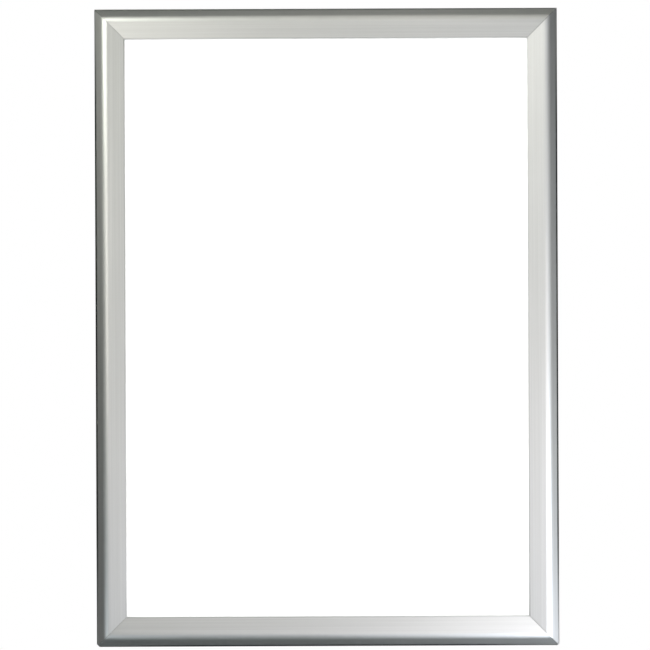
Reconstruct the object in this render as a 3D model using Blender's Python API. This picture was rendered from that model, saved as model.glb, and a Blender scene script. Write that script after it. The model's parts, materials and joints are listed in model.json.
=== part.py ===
"""Front-opening poster frame for an A2 sheet, in mitred aluminium extrusions.

Four base rails are screwed to the wall. Each carries a spring-loaded snap cover that hinges on a
bead along the rail's outer edge and presses on the clear sheet, the poster and the back panel.

Units are metres. +Z is up, -Y faces the viewer and the wall plane is y = 0. The origin is on the
back of the top rail, midway along it, on the line of its wall screws.

Sections are drawn in (u, w): u runs from the frame's outer edge towards its middle and w from the
wall towards the viewer.
"""

from math import acos, asin, atan2, cos, hypot, pi, radians, sin, sqrt, tan

import bmesh
import bpy
from mathutils import Matrix, Vector

# An A2 poster, upright. The covers hide a margin along each of its edges, and the insert's play is
# the room between its edges and the guard walls.
POSTER_WIDTH = 0.420
POSTER_HEIGHT = 0.594
PROFILE_WIDTH = 0.030
HIDDEN_MARGIN = 0.010
INSERT_PLAY = 0.001
CLEARANCE = 0.0003
MITRE_GAP = 0.0003

# Hinge bead on the base rail, and the hook of the cover that turns on it. The hook runs round the
# bead between two angles, with a claw over its top, and its end meets the rail's stem with the
# cover fully open.
PIN_RADIUS = 0.0011
PIN_NECK = 0.0010
COVER_WALL = 0.0012
CLAW_WALL = 0.0010
WALL_GAP = 0.0006
HOOK_NOSE_ANGLE = radians(87)
HOOK_END_ANGLE = radians(225)
OPENING_ANGLE = radians(90)

# Snap cover, from its outer edge to its inner lip
OUTER_EDGE_RADIUS = 0.0026
SIDE_ANGLE = radians(38)
SIDE_RUN = 0.0056
SHOULDER_RADIUS = 0.0100
FACE_FALL = radians(6)
LIP_EDGE_RADIUS = 0.0008
CATCH_WALL = 0.0012
CATCH_FOOT = 0.0012
CATCH_ROOM = 0.0019

# Base rail: a web on the wall, a stem with the springs' seat, a channel for the corner brackets, a
# guard wall along the poster's edge and two shelf ribs under the back panel
WEB = 0.0014
RAIL_WALL = 0.0012
SEAT_LIP = 0.0006
SEAT_HEAD = 0.0014
SEAT_UNDERCUT = 0.00065
SEAT_MOUTH_ANGLE = radians(-35)
CHANNEL_LIP = 0.0009
CHANNEL_LIP_THICKNESS = 0.00065
SHELF_HEIGHT = 0.0018
SHELF_RIB = 0.0012
SHELF_SPACING = 0.0090
SHELF_SET_BACK = 0.0016
GUARD_RISE = 0.00075
DRILL_GROOVE_WIDTH = 0.0010
DRILL_GROOVE_DEPTH = 0.0003

# Wall screw holes, countersunk through the web
SCREW_RADIUS = 0.00225
COUNTERSINK_ANGLE = radians(45)
SCREW_FROM_CORNER = 0.095

# Corner brackets, flat steel angles that lie in the channels
BRACKET_THICKNESS = 0.0015
BRACKET_LEG = 0.050
BRACKET_CORNER_RADIUS = 0.0020
BRACKET_HOLE_RADIUS = 0.0020
BRACKET_HOLE_FROM_END = 0.0080

# Bow springs, of steel strip, between the stem's seat and the cover's catch
SPRING_THICKNESS = 0.0005
SPRING_WIDTH = 0.026
SPRING_RISE_SHARE = 0.28
SPRING_PITCH = 0.170
SHORT_RAIL_SPRING_COUNT = 2
LONG_RAIL_SPRING_COUNT = 3

# Sheets held in the frame
BACK_PANEL = 0.0012
POSTER_THICKNESS = 0.00025
CLEAR_SHEET = 0.0005

CUT_OVERRUN = 0.0010
MERGE_DISTANCE = 0.000001
ARC_STEP = radians(8)
CONE_SEGMENT_COUNT = 32
SHARP_ANGLE = radians(30)

# Places that follow from the sizes above
poster_edge_u = PROFILE_WIDTH - HIDDEN_MARGIN
frame_width = POSTER_WIDTH + 2 * poster_edge_u
frame_height = POSTER_HEIGHT + 2 * poster_edge_u
mitre_setback = MITRE_GAP / sqrt(2)

socket_radius = PIN_RADIUS + CLEARANCE
hook_radius = socket_radius + COVER_WALL
pivot_u = hook_radius
pivot_w = hook_radius + WALL_GAP
side_normal = SIDE_ANGLE + pi / 2
face_normal = pi / 2 - FACE_FALL

stem_left = pivot_u + hook_radius * cos(HOOK_END_ANGLE + OPENING_ANGLE) + CLEARANCE
stem_right = stem_left + RAIL_WALL
guard_right = poster_edge_u - INSERT_PLAY
guard_left = guard_right - RAIL_WALL
channel_middle = (stem_right + guard_left) / 2
bracket_width = guard_left - stem_right - 2 * CLEARANCE
bracket_bottom = WEB + CLEARANCE
bracket_top = bracket_bottom + BRACKET_THICKNESS
channel_lip_bottom = bracket_top + CLEARANCE
channel_lip_top = channel_lip_bottom + CHANNEL_LIP_THICKNESS

shelf_top = WEB + SHELF_HEIGHT
shelf_start = poster_edge_u + SHELF_SET_BACK - SHELF_RIB / 2
panel_bottom = shelf_top + CLEARANCE
poster_bottom = panel_bottom + BACK_PANEL + CLEARANCE
clear_bottom = poster_bottom + POSTER_THICKNESS + CLEARANCE
clear_top = clear_bottom + CLEAR_SHEET
lip_bottom = clear_top + CLEARANCE
guard_top = clear_top + GUARD_RISE

groove_radius = SPRING_THICKNESS / 2 + CLEARANCE
seat_u = (stem_left + stem_right) / 2
seat_w = channel_lip_top + SEAT_UNDERCUT + SEAT_HEAD
catch_right = guard_left - CHANNEL_LIP - CATCH_ROOM
catch_left = catch_right - CATCH_WALL
catch_u = catch_left - groove_radius
catch_w = channel_lip_bottom + CATCH_FOOT + groove_radius

frame_middle = Vector((0, 0, channel_middle - frame_height / 2))

SIDES = {
    "top": (0, frame_width, frame_height / 2, SHORT_RAIL_SPRING_COUNT),
    "right": (pi / 2, frame_height, frame_width / 2, LONG_RAIL_SPRING_COUNT),
    "bottom": (pi, frame_width, frame_height / 2, SHORT_RAIL_SPRING_COUNT),
    "left": (3 * pi / 2, frame_height, frame_width / 2, LONG_RAIL_SPRING_COUNT),
}
CORNERS = {
    "top_right": (0, frame_width / 2, frame_height / 2),
    "bottom_right": (pi / 2, frame_height / 2, frame_width / 2),
    "bottom_left": (pi, frame_width / 2, frame_height / 2),
    "top_left": (3 * pi / 2, frame_height / 2, frame_width / 2),
}


def clear_scene():
    """Removes the objects of the startup scene."""
    for old in list(bpy.data.objects):
        bpy.data.objects.remove(old, do_unlink=True)


def new_collection(name):
    """A new collection linked to the scene."""
    collection = bpy.data.collections.new(name)
    bpy.context.scene.collection.children.link(collection)
    return collection


def new_material(name, colour, roughness, metallic, alpha=1.0):
    """A Principled material of one colour."""
    material = bpy.data.materials.new(name)
    material.use_nodes = True
    shader = material.node_tree.nodes["Principled BSDF"]
    shader.inputs["Base Color"].default_value = (*colour, 1.0)
    shader.inputs["Roughness"].default_value = roughness
    shader.inputs["Metallic"].default_value = metallic
    shader.inputs["Alpha"].default_value = alpha
    return material


def polar(centre, radius, angle):
    """The point at this radius and angle round centre, in section coordinates."""
    return (centre[0] + radius * cos(angle), centre[1] + radius * sin(angle))


def arc(centre, radius, start, end):
    """Points along an arc from angle start to angle end, both included."""
    steps = max(2, round(abs(end - start) / ARC_STEP))
    return [polar(centre, radius, start + (end - start) * i / steps) for i in range(steps + 1)]


def cover_outline():
    """The snap cover's section: hook, flank, sloped side, round shoulder, face, lip and catch.

    The flank is upright as far as the hook's cut ends reach, so that the corners above are square.
    """
    pivot = (pivot_u, pivot_w)
    outer_edge = (OUTER_EDGE_RADIUS, pivot_w + pivot_u)
    side_start = polar(outer_edge, OUTER_EDGE_RADIUS, side_normal)
    side_end = polar(side_start, SIDE_RUN / cos(SIDE_ANGLE), SIDE_ANGLE)
    shoulder = polar(side_end, -SHOULDER_RADIUS, side_normal)
    face_start = polar(shoulder, SHOULDER_RADIUS, face_normal)
    under_start = polar(face_start, -COVER_WALL, face_normal)

    def below_face(u, depth):
        """The height at u of the line that lies this deep below the face."""
        start = polar(face_start, -depth, face_normal)
        return start[1] - (u - start[0]) * tan(FACE_FALL)

    edge_u = PROFILE_WIDTH - LIP_EDGE_RADIUS
    edge = (edge_u, below_face(edge_u, LIP_EDGE_RADIUS))
    tip_radius = COVER_WALL / 2
    tip = (PROFILE_WIDTH - tip_radius, lip_bottom + tip_radius)
    lip_inside = PROFILE_WIDTH - COVER_WALL
    foot_radius = CATCH_FOOT / 2
    foot = (catch_u - groove_radius, catch_w - groove_radius - foot_radius)
    foot_bottom = foot[1] - foot_radius
    claw_radius = socket_radius + CLAW_WALL
    claw_start = acos((COVER_WALL - pivot_u) / claw_radius)

    points = arc(pivot, hook_radius, HOOK_END_ANGLE, pi)
    points += arc(outer_edge, OUTER_EDGE_RADIUS, pi, side_normal)
    points += arc(shoulder, SHOULDER_RADIUS, side_normal, face_normal)
    points += arc(edge, LIP_EDGE_RADIUS, face_normal, 0)
    points += arc(tip, tip_radius, 0, -pi)
    points += [(lip_inside, below_face(lip_inside, COVER_WALL))]
    points += [(catch_right, below_face(catch_right, COVER_WALL))]
    points += [(catch_right, foot_bottom)]
    points += arc(foot, foot_radius, -pi / 2, -3 * pi / 2)
    points += arc((catch_u, catch_w), groove_radius, -pi / 2, 0)
    points += [(catch_left, below_face(catch_left, COVER_WALL))]
    points += [under_start]
    points += arc(shoulder, SHOULDER_RADIUS - COVER_WALL, face_normal, side_normal)[1:]
    points += arc(outer_edge, OUTER_EDGE_RADIUS - COVER_WALL, side_normal, pi)
    points += arc(pivot, claw_radius, claw_start, HOOK_NOSE_ANGLE)
    points += arc(pivot, socket_radius, HOOK_NOSE_ANGLE, HOOK_END_ANGLE)
    return points


def shelf_rib(right):
    """One rib under the back panel, walked from right to left along the top of the web."""
    left = right - SHELF_RIB
    return [(right, WEB), (right, shelf_top), (left, shelf_top), (left, WEB)]


def base_outline():
    """The base rail's section: web, shelf ribs, guard wall, bracket channel, spring seat, bead."""
    pivot = (pivot_u, pivot_w)
    head_left = seat_u - groove_radius - SEAT_LIP
    head_right = seat_u + groove_radius + SEAT_LIP
    head_bottom = seat_w - SEAT_HEAD
    neck_angle = asin(PIN_NECK / 2 / PIN_RADIUS)
    inner_edge = shelf_start + SHELF_SPACING + SHELF_RIB
    groove_half = DRILL_GROOVE_WIDTH / 2
    mouth = polar((seat_u, seat_w), groove_radius, SEAT_MOUTH_ANGLE)

    points = [(stem_left, 0), (inner_edge, 0)]
    points += shelf_rib(inner_edge)[1:]
    points += shelf_rib(shelf_start + SHELF_RIB)
    points += [(guard_right, WEB), (guard_right, guard_top), (guard_left, guard_top)]
    points += [(guard_left, channel_lip_top), (guard_left - CHANNEL_LIP, channel_lip_top)]
    points += [(guard_left - CHANNEL_LIP, channel_lip_bottom), (guard_left, channel_lip_bottom)]
    points += [(guard_left, WEB), (channel_middle + groove_half, WEB)]
    points += [(channel_middle, WEB - DRILL_GROOVE_DEPTH), (channel_middle - groove_half, WEB)]
    points += [(stem_right, WEB), (stem_right, channel_lip_bottom)]
    points += [(stem_right + CHANNEL_LIP, channel_lip_bottom)]
    points += [(stem_right + CHANNEL_LIP, channel_lip_top), (stem_right, channel_lip_top)]
    points += [(stem_right, head_bottom), (head_right, head_bottom), (head_right, mouth[1])]
    points += arc((seat_u, seat_w), groove_radius, SEAT_MOUTH_ANGLE, -pi)
    points += [(head_left, seat_w), (head_left, head_bottom), (stem_left, head_bottom)]
    points += [(stem_left, pivot_w + PIN_NECK / 2)]
    points += arc(pivot, PIN_RADIUS, neck_angle, 2 * pi - neck_angle)
    points += [(stem_left, pivot_w - PIN_NECK / 2)]
    return points


def spring_outline():
    """A bow of spring strip whose round ends lie at (0, 0) and in the cover's catch."""
    chord = hypot(catch_u - seat_u, catch_w - seat_w)
    tilt = atan2(catch_w - seat_w, catch_u - seat_u)
    rise = SPRING_RISE_SHARE * chord
    half_sweep = 2 * atan2(rise, chord / 2)
    radius = chord / 2 / sin(half_sweep)
    middle = polar((0, 0), chord / 2, tilt)
    centre = polar(middle, rise - radius, tilt + pi / 2)
    start = tilt + pi / 2 + half_sweep
    end = tilt + pi / 2 - half_sweep
    half = SPRING_THICKNESS / 2
    points = arc(centre, radius + half, start, end)
    points += arc(polar(centre, radius, end), half, end, end - pi)[1:-1]
    points += arc(centre, radius - half, end, start)
    points += arc(polar(centre, radius, start), half, start + pi, start)[1:-1]
    return points


def bracket_outlines():
    """The corner bracket seen from the front, as its L and its two staking holes."""
    near = stem_right + CLEARANCE
    far = near + bracket_width
    round_off = BRACKET_CORNER_RADIUS
    outside = arc((near + round_off, near + round_off), round_off, pi, 3 * pi / 2)
    ends = arc((BRACKET_LEG - round_off, near + round_off), round_off, -pi / 2, 0)
    ends += arc((BRACKET_LEG - round_off, far - round_off), round_off, 0, pi / 2)
    inside = [(far, far)]
    mirrored_ends = [(b, a) for a, b in reversed(ends)]
    hole = (BRACKET_LEG - BRACKET_HOLE_FROM_END, (near + far) / 2)
    holes = [arc(hole, BRACKET_HOLE_RADIUS, 0, 2 * pi)[:-1]]
    holes += [arc(hole[::-1], BRACKET_HOLE_RADIUS, 0, 2 * pi)[:-1]]
    return [outside + ends + inside + mirrored_ends, *holes]


def extruded_curve(name, outlines, length, collection):
    """A flat outline, with any holes in it, extruded evenly both ways along local Z."""
    curve = bpy.data.curves.new(name, "CURVE")
    curve.dimensions = "2D"
    curve.fill_mode = "BOTH"
    curve.extrude = length / 2
    for outline in outlines:
        spline = curve.splines.new("POLY")
        spline.points.add(len(outline) - 1)
        for point, (u, w) in zip(spline.points, outline):
            point.co = (u, w, 0, 1)
        spline.use_cyclic_u = True
    made = bpy.data.objects.new(name, curve)
    collection.objects.link(made)
    return made


def mesh_from_curve(made):
    """The evaluated curve as a bmesh with its loose caps welded on. The curve is removed."""
    bpy.context.view_layer.update()
    graph = bpy.context.evaluated_depsgraph_get()
    mesh = bpy.data.meshes.new_from_object(made.evaluated_get(graph))
    bm = bmesh.new()
    bm.from_mesh(mesh)
    bmesh.ops.remove_doubles(bm, verts=bm.verts, dist=MERGE_DISTANCE)
    bpy.data.meshes.remove(mesh)
    bpy.data.objects.remove(made, do_unlink=True)
    return bm


def cut_plane(bm, point, normal):
    """Cuts away what lies on the side that normal points to, and closes the cut."""
    everything = bm.verts[:] + bm.edges[:] + bm.faces[:]
    bmesh.ops.bisect_plane(
        bm, geom=everything, dist=MERGE_DISTANCE, plane_co=point, plane_no=normal, clear_outer=True
    )
    open_edges = [edge for edge in bm.edges if edge.is_boundary]
    bmesh.ops.holes_fill(bm, edges=open_edges, sides=0)


def mitred_mesh(name, outline, origin, length, collection, hinged=False):
    """An extrusion mitred at both ends, with its section drawn from origin.

    A hinged one also loses the corner of its hook that would swing across the mitre.
    """
    moved = [(u - origin[0], w - origin[1]) for u, w in outline]
    bm = mesh_from_curve(extruded_curve(name, [moved], length, collection))
    for end in (1, -1):
        outer_corner = Vector((-origin[0], -origin[1], end * (length / 2 - mitre_setback)))
        cut_plane(bm, outer_corner, Vector((1, 0, end)))
        if hinged:
            hook_corner = Vector((0, 0, end * (length / 2 - pivot_u - mitre_setback)))
            cut_plane(bm, hook_corner, Vector((0, -1, end)))
    bmesh.ops.recalc_face_normals(bm, faces=bm.faces)
    mesh = bpy.data.meshes.new(name)
    bm.to_mesh(mesh)
    bm.free()
    mesh.shade_smooth()
    mesh.set_sharp_from_angle(angle=SHARP_ANGLE)
    return mesh


def side_matrix(angle, reach):
    """Carries section coordinates (u, w, along) of one side of the frame into the world."""
    turn = Matrix.Rotation(angle, 3, "Y")
    axes = Matrix((turn @ Vector((0, 0, -1)), Vector((0, -1, 0)), turn @ Vector((-1, 0, 0))))
    place = frame_middle + turn @ Vector((0, 0, reach))
    return Matrix.Translation(place) @ axes.transposed().to_4x4()


def place(made, matrix, material):
    """Sets an object's place and material."""
    made.location = matrix.to_translation()
    made.rotation_euler = matrix.to_euler()
    made.data.materials.append(material)


def screw_cutter(name, matrix, collection):
    """A cone that cuts one countersunk hole through the web, along local Y."""
    slope = tan(COUNTERSINK_ANGLE)
    bm = bmesh.new()
    bmesh.ops.create_cone(
        bm,
        cap_ends=True,
        segments=CONE_SEGMENT_COUNT,
        radius1=SCREW_RADIUS - CUT_OVERRUN * slope,
        radius2=SCREW_RADIUS + (WEB + CUT_OVERRUN) * slope,
        depth=WEB + 2 * CUT_OVERRUN,
        matrix=Matrix.Rotation(-pi / 2, 4, "X") @ Matrix.Rotation(pi / CONE_SEGMENT_COUNT, 4, "Z"),
    )
    mesh = bpy.data.meshes.new(name)
    bm.to_mesh(mesh)
    bm.free()
    cutter = bpy.data.objects.new(name, mesh)
    cutter.matrix_world = matrix
    cutter.hide_render = True
    cutter.display_type = "WIRE"
    collection.objects.link(cutter)
    return cutter


def add_base_rails(parts, cutters, material):
    """The four rails that are screwed to the wall."""
    outline = base_outline()
    for side, (angle, length, reach, _) in SIDES.items():
        name = f"base_rail_{side}"
        mesh = mitred_mesh(name, outline, (0, 0), length, parts)
        rail = bpy.data.objects.new(name, mesh)
        parts.objects.link(rail)
        place(rail, side_matrix(angle, reach), material)
        for number, end in enumerate((-1, 1), 1):
            along = end * (length / 2 - SCREW_FROM_CORNER)
            hole = Matrix.Translation((channel_middle, WEB / 2, along))
            cutter_name = f"screw_cutter_{side}_{number}"
            cutter = screw_cutter(cutter_name, side_matrix(angle, reach) @ hole, cutters)
            cut = rail.modifiers.new(f"screw_hole_{number}", "BOOLEAN")
            cut.operation = "DIFFERENCE"
            cut.object = cutter


def add_snap_covers(parts, material):
    """The four covers, each with its origin on its hinge axis."""
    outline = cover_outline()
    pivot = (pivot_u, pivot_w)
    for side, (angle, length, reach, _) in SIDES.items():
        name = f"snap_cover_{side}"
        mesh = mitred_mesh(name, outline, pivot, length, parts, hinged=True)
        cover = bpy.data.objects.new(name, mesh)
        parts.objects.link(cover)
        hinge = Matrix.Translation((pivot_u, pivot_w, 0))
        place(cover, side_matrix(angle, reach) @ hinge, material)


def add_spring_clips(parts, material):
    """The bow springs between each base rail's seat and its cover's catch."""
    outline = spring_outline()
    for side, (angle, _, reach, count) in SIDES.items():
        for number in range(1, count + 1):
            name = f"spring_clip_{side}_{number}"
            along = (number - (count + 1) / 2) * SPRING_PITCH
            clip = extruded_curve(name, [outline], SPRING_WIDTH, parts)
            seat = Matrix.Translation((seat_u, seat_w, along))
            place(clip, side_matrix(angle, reach) @ seat, material)


def add_corner_brackets(parts, material):
    """The flat steel angles that join the base rails inside their channels."""
    outlines = bracket_outlines()
    for corner, (angle, half_width, half_height) in CORNERS.items():
        turn = Matrix.Rotation(angle, 3, "Y")
        inward = Matrix((turn @ Vector((-1, 0, 0)), turn @ Vector((0, 0, -1)), Vector((0, -1, 0))))
        outer_corner = frame_middle + turn @ Vector((half_width, 0, half_height))
        matrix = Matrix.Translation(outer_corner) @ inward.transposed().to_4x4()
        lift = Matrix.Translation((0, 0, (bracket_bottom + bracket_top) / 2))
        bracket = extruded_curve(f"corner_bracket_{corner}", outlines, BRACKET_THICKNESS, parts)
        place(bracket, matrix @ lift, material)


def add_sheet(name, bottom, thickness, parts, material):
    """One flat sheet of the poster's size, with its back at this distance from the wall."""
    bm = bmesh.new()
    size = Matrix.Diagonal((POSTER_WIDTH, thickness, POSTER_HEIGHT, 1))
    bmesh.ops.create_cube(bm, size=1, matrix=size)
    mesh = bpy.data.meshes.new(name)
    bm.to_mesh(mesh)
    bm.free()
    sheet = bpy.data.objects.new(name, mesh)
    parts.objects.link(sheet)
    place(sheet, Matrix.Translation(frame_middle + Vector((0, -bottom - thickness / 2, 0))), material)


def main():
    clear_scene()
    parts = new_collection("poster_frame")
    cutters = new_collection("cutters")

    anodised = new_material("silver_anodised", (0.70, 0.70, 0.69), 0.35, 1.0)
    mill_finish = new_material("mill_aluminium", (0.66, 0.66, 0.66), 0.45, 1.0)
    zinc = new_material("zinc_plated_steel", (0.55, 0.57, 0.60), 0.40, 1.0)
    spring_steel = new_material("spring_steel", (0.34, 0.34, 0.36), 0.35, 1.0)
    white_board = new_material("white_polystyrene", (0.90, 0.90, 0.89), 0.60, 0.0)
    paper = new_material("blank_paper", (0.93, 0.93, 0.92), 0.85, 0.0)
    clear = new_material("clear_plastic", (0.95, 0.96, 0.96), 0.25, 0.0, alpha=0.15)

    add_base_rails(parts, cutters, mill_finish)
    add_snap_covers(parts, anodised)
    add_spring_clips(parts, spring_steel)
    add_corner_brackets(parts, zinc)
    add_sheet("back_panel", panel_bottom, BACK_PANEL, parts, white_board)
    add_sheet("poster_insert", poster_bottom, POSTER_THICKNESS, parts, paper)
    add_sheet("clear_sheet", clear_bottom, CLEAR_SHEET, parts, clear)


main()
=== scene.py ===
import json
from math import acos, asin, atan2, cos, hypot, pi, radians, sin, sqrt, tan

import bmesh
import bpy
from mathutils import Matrix, Vector


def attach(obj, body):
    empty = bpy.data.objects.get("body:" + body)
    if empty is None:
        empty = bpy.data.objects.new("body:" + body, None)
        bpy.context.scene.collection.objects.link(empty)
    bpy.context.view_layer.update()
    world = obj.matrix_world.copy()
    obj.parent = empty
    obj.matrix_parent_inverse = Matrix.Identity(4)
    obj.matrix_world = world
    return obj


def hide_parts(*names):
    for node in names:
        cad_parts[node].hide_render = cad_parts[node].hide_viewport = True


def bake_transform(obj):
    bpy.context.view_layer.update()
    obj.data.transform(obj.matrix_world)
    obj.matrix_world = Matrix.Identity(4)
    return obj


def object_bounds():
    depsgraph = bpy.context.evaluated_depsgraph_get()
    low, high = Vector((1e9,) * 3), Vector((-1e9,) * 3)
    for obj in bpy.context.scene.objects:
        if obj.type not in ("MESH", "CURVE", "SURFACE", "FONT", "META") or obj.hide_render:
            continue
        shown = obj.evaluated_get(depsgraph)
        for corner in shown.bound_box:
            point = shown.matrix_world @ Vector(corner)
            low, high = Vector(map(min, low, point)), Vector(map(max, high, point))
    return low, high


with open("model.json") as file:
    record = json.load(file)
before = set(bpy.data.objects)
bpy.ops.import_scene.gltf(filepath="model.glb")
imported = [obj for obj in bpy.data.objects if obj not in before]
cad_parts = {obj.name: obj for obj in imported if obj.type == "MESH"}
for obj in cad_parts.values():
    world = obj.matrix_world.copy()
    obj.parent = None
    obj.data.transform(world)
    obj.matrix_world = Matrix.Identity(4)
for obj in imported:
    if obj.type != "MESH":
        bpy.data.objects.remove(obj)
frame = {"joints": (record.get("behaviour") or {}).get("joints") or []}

# Looks of a front-opening poster frame in satin silver aluminium. Sizes are in metres and places
# are in the frame's own coordinates: +Z up, -Y towards the viewer, the wall plane at y = 0.
# Sections are drawn in (u, w): u runs from the outer edge towards the middle, w from the wall.
CAD_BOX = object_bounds()

# Sizes, as in the solids but for the two with a remark
CLEARANCE = 0.0003
MITRE_GAP = 0.00014             # the solids have 0.0003
PROFILE_WIDTH = 0.030
HIDDEN_MARGIN = 0.010
INSERT_PLAY = 0.001
PIN_RADIUS = 0.0011
PIN_NECK = 0.0010
COVER_WALL = 0.0012
CLAW_WALL = 0.0010
WALL_GAP = 0.0006
HOOK_NOSE_ANGLE = radians(87)
HOOK_END_ANGLE = radians(225)
OPENING_ANGLE = radians(90)
OUTER_EDGE_RADIUS = 0.0026
SIDE_ANGLE = radians(38)
SIDE_RUN = 0.0056
SHOULDER_RADIUS = 0.0100
FACE_FALL = radians(6)
LIP_EDGE_RADIUS = 0.0003        # the solids have 0.0008
CATCH_WALL = 0.0012
CATCH_FOOT = 0.0012
CATCH_ROOM = 0.0019
WEB = 0.0014
RAIL_WALL = 0.0012
SEAT_LIP = 0.0006
SEAT_HEAD = 0.0014
SEAT_UNDERCUT = 0.00065
SEAT_MOUTH_ANGLE = radians(-35)
CHANNEL_LIP = 0.0009
CHANNEL_LIP_THICKNESS = 0.00065
SHELF_HEIGHT = 0.0018
SHELF_RIB = 0.0012
SHELF_SPACING = 0.0090
SHELF_SET_BACK = 0.0016
GUARD_RISE = 0.00075
DRILL_GROOVE_WIDTH = 0.0010
DRILL_GROOVE_DEPTH = 0.0003
SCREW_RADIUS = 0.00225
COUNTERSINK_ANGLE = radians(45)
SCREW_FROM_CORNER = 0.095
BRACKET_THICKNESS = 0.0015
BRACKET_LEG = 0.050
BRACKET_CORNER_RADIUS = 0.0020
BRACKET_HOLE_RADIUS = 0.0020
BRACKET_HOLE_FROM_END = 0.0080
SPRING_THICKNESS = 0.0005
SPRING_WIDTH = 0.026
SPRING_RISE_SHARE = 0.28
SPRING_PITCH = 0.170
SHORT_RAIL_SPRING_COUNT = 2
LONG_RAIL_SPRING_COUNT = 3
BACK_PANEL = 0.0012
POSTER_THICKNESS = 0.00025
CLEAR_SHEET = 0.0005

# Forms that only the visual meshes have: the springs' rounded corners, bevels and thin ends, the
# brackets' and sheets' rounded edges, and a shallow wave with ripples in poster and clear sheet
SPRING_CORNER_RADIUS = 0.0022
SPRING_BEVEL_SHARE = 0.6
SPRING_END_SHARE = 0.35
BRACKET_EDGE_RADIUS = 0.0003
SHEET_EDGE_SHARE = 0.2
POSTER_WAVE = 0.0001
CLEAR_SHEET_WAVE = 0.00015
RIPPLE_SHARE = 0.4
RIPPLES = (11, 5)

# Fineness of the visual meshes
ARC_STEP = radians(3)
EDGE_RADIUS = 0.00018
EDGE_STEPS = 3
EDGE_REACH_SHARE = 0.45
SHARP_ANGLE = radians(32)
MERGE_DISTANCE = 0.000001
SPRING_STEPS = 40
CONE_SEGMENTS = 64
SHEET_COLUMNS, SHEET_ROWS = 56, 80
FLOOR_SEGMENTS = 96
TENT_SEGMENTS = (64, 32)

hinge_place = {joint["child"]: Vector(joint["pos_m"]) for joint in frame["joints"]}
socket_radius = PIN_RADIUS + CLEARANCE
hook_radius = socket_radius + COVER_WALL
pivot_u = hook_radius
pivot_w = hook_radius + WALL_GAP
frame_width = hinge_place["cover_right"].x - hinge_place["cover_left"].x + 2 * pivot_u
frame_height = hinge_place["cover_top"].z - hinge_place["cover_bottom"].z + 2 * pivot_u
frame_middle = Vector((0, 0, (hinge_place["cover_top"].z + hinge_place["cover_bottom"].z) / 2))
poster_edge_u = PROFILE_WIDTH - HIDDEN_MARGIN
poster_width = frame_width - 2 * poster_edge_u
poster_height = frame_height - 2 * poster_edge_u
mitre_setback = MITRE_GAP / sqrt(2)
side_normal = SIDE_ANGLE + pi / 2
face_normal = pi / 2 - FACE_FALL

stem_left = pivot_u + hook_radius * cos(HOOK_END_ANGLE + OPENING_ANGLE) + CLEARANCE
stem_right = stem_left + RAIL_WALL
guard_right = poster_edge_u - INSERT_PLAY
guard_left = guard_right - RAIL_WALL
channel_middle = (stem_right + guard_left) / 2
bracket_width = guard_left - stem_right - 2 * CLEARANCE
bracket_bottom = WEB + CLEARANCE
bracket_top = bracket_bottom + BRACKET_THICKNESS
channel_lip_bottom = bracket_top + CLEARANCE
channel_lip_top = channel_lip_bottom + CHANNEL_LIP_THICKNESS
shelf_top = WEB + SHELF_HEIGHT
shelf_start = poster_edge_u + SHELF_SET_BACK - SHELF_RIB / 2
panel_bottom = shelf_top + CLEARANCE
poster_bottom = panel_bottom + BACK_PANEL + CLEARANCE
clear_bottom = poster_bottom + POSTER_THICKNESS + CLEARANCE
clear_top = clear_bottom + CLEAR_SHEET
lip_bottom = clear_top + CLEARANCE
guard_top = clear_top + GUARD_RISE
groove_radius = SPRING_THICKNESS / 2 + CLEARANCE
seat_u = (stem_left + stem_right) / 2
seat_w = channel_lip_top + SEAT_UNDERCUT + SEAT_HEAD
catch_right = guard_left - CHANNEL_LIP - CATCH_ROOM
catch_left = catch_right - CATCH_WALL
catch_u = catch_left - groove_radius
catch_w = channel_lip_bottom + CATCH_FOOT + groove_radius

# Each side's turn about Y, its length, its reach from the middle and its number of springs
SIDES = {
    "top": (0, frame_width, frame_height / 2, SHORT_RAIL_SPRING_COUNT),
    "right": (pi / 2, frame_height, frame_width / 2, LONG_RAIL_SPRING_COUNT),
    "bottom": (pi, frame_width, frame_height / 2, SHORT_RAIL_SPRING_COUNT),
    "left": (3 * pi / 2, frame_height, frame_width / 2, LONG_RAIL_SPRING_COUNT),
}
# Each corner's turn about Y, and its reach from the middle along the turned X and Z
CORNERS = {
    "top_right": (0, frame_width / 2, frame_height / 2),
    "bottom_right": (pi / 2, frame_height / 2, frame_width / 2),
    "bottom_left": (pi, frame_width / 2, frame_height / 2),
    "top_left": (3 * pi / 2, frame_height / 2, frame_width / 2),
}


# Sections

def polar(centre, radius, angle):
    """The point at this radius and angle round centre."""
    return (centre[0] + radius * cos(angle), centre[1] + radius * sin(angle))


def arc(centre, radius, start, end):
    """Points along an arc from angle start to angle end, both included."""
    steps = max(2, round(abs(end - start) / ARC_STEP))
    return [polar(centre, radius, start + (end - start) * i / steps) for i in range(steps + 1)]


def softened(outline):
    """The outline with each of its sharp corners drawn to a small round, as a die leaves them."""
    points = []
    count = len(outline)
    for i, corner in enumerate(outline):
        here = Vector(corner)
        before = Vector(outline[i - 1]) - here
        after = Vector(outline[(i + 1) % count]) - here
        turn = pi - before.angle(after)
        if turn < SHARP_ANGLE:
            points.append(corner)
            continue
        room = EDGE_REACH_SHARE * min(before.length, after.length)
        reach = min(EDGE_RADIUS * tan(turn / 2), room)
        start = here + before.normalized() * reach
        end = here + after.normalized() * reach
        for step in range(EDGE_STEPS + 1):
            t = step / EDGE_STEPS
            bend = start * (1 - t) ** 2 + here * 2 * t * (1 - t) + end * t**2
            points.append((bend.x, bend.y))
    return points


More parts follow.
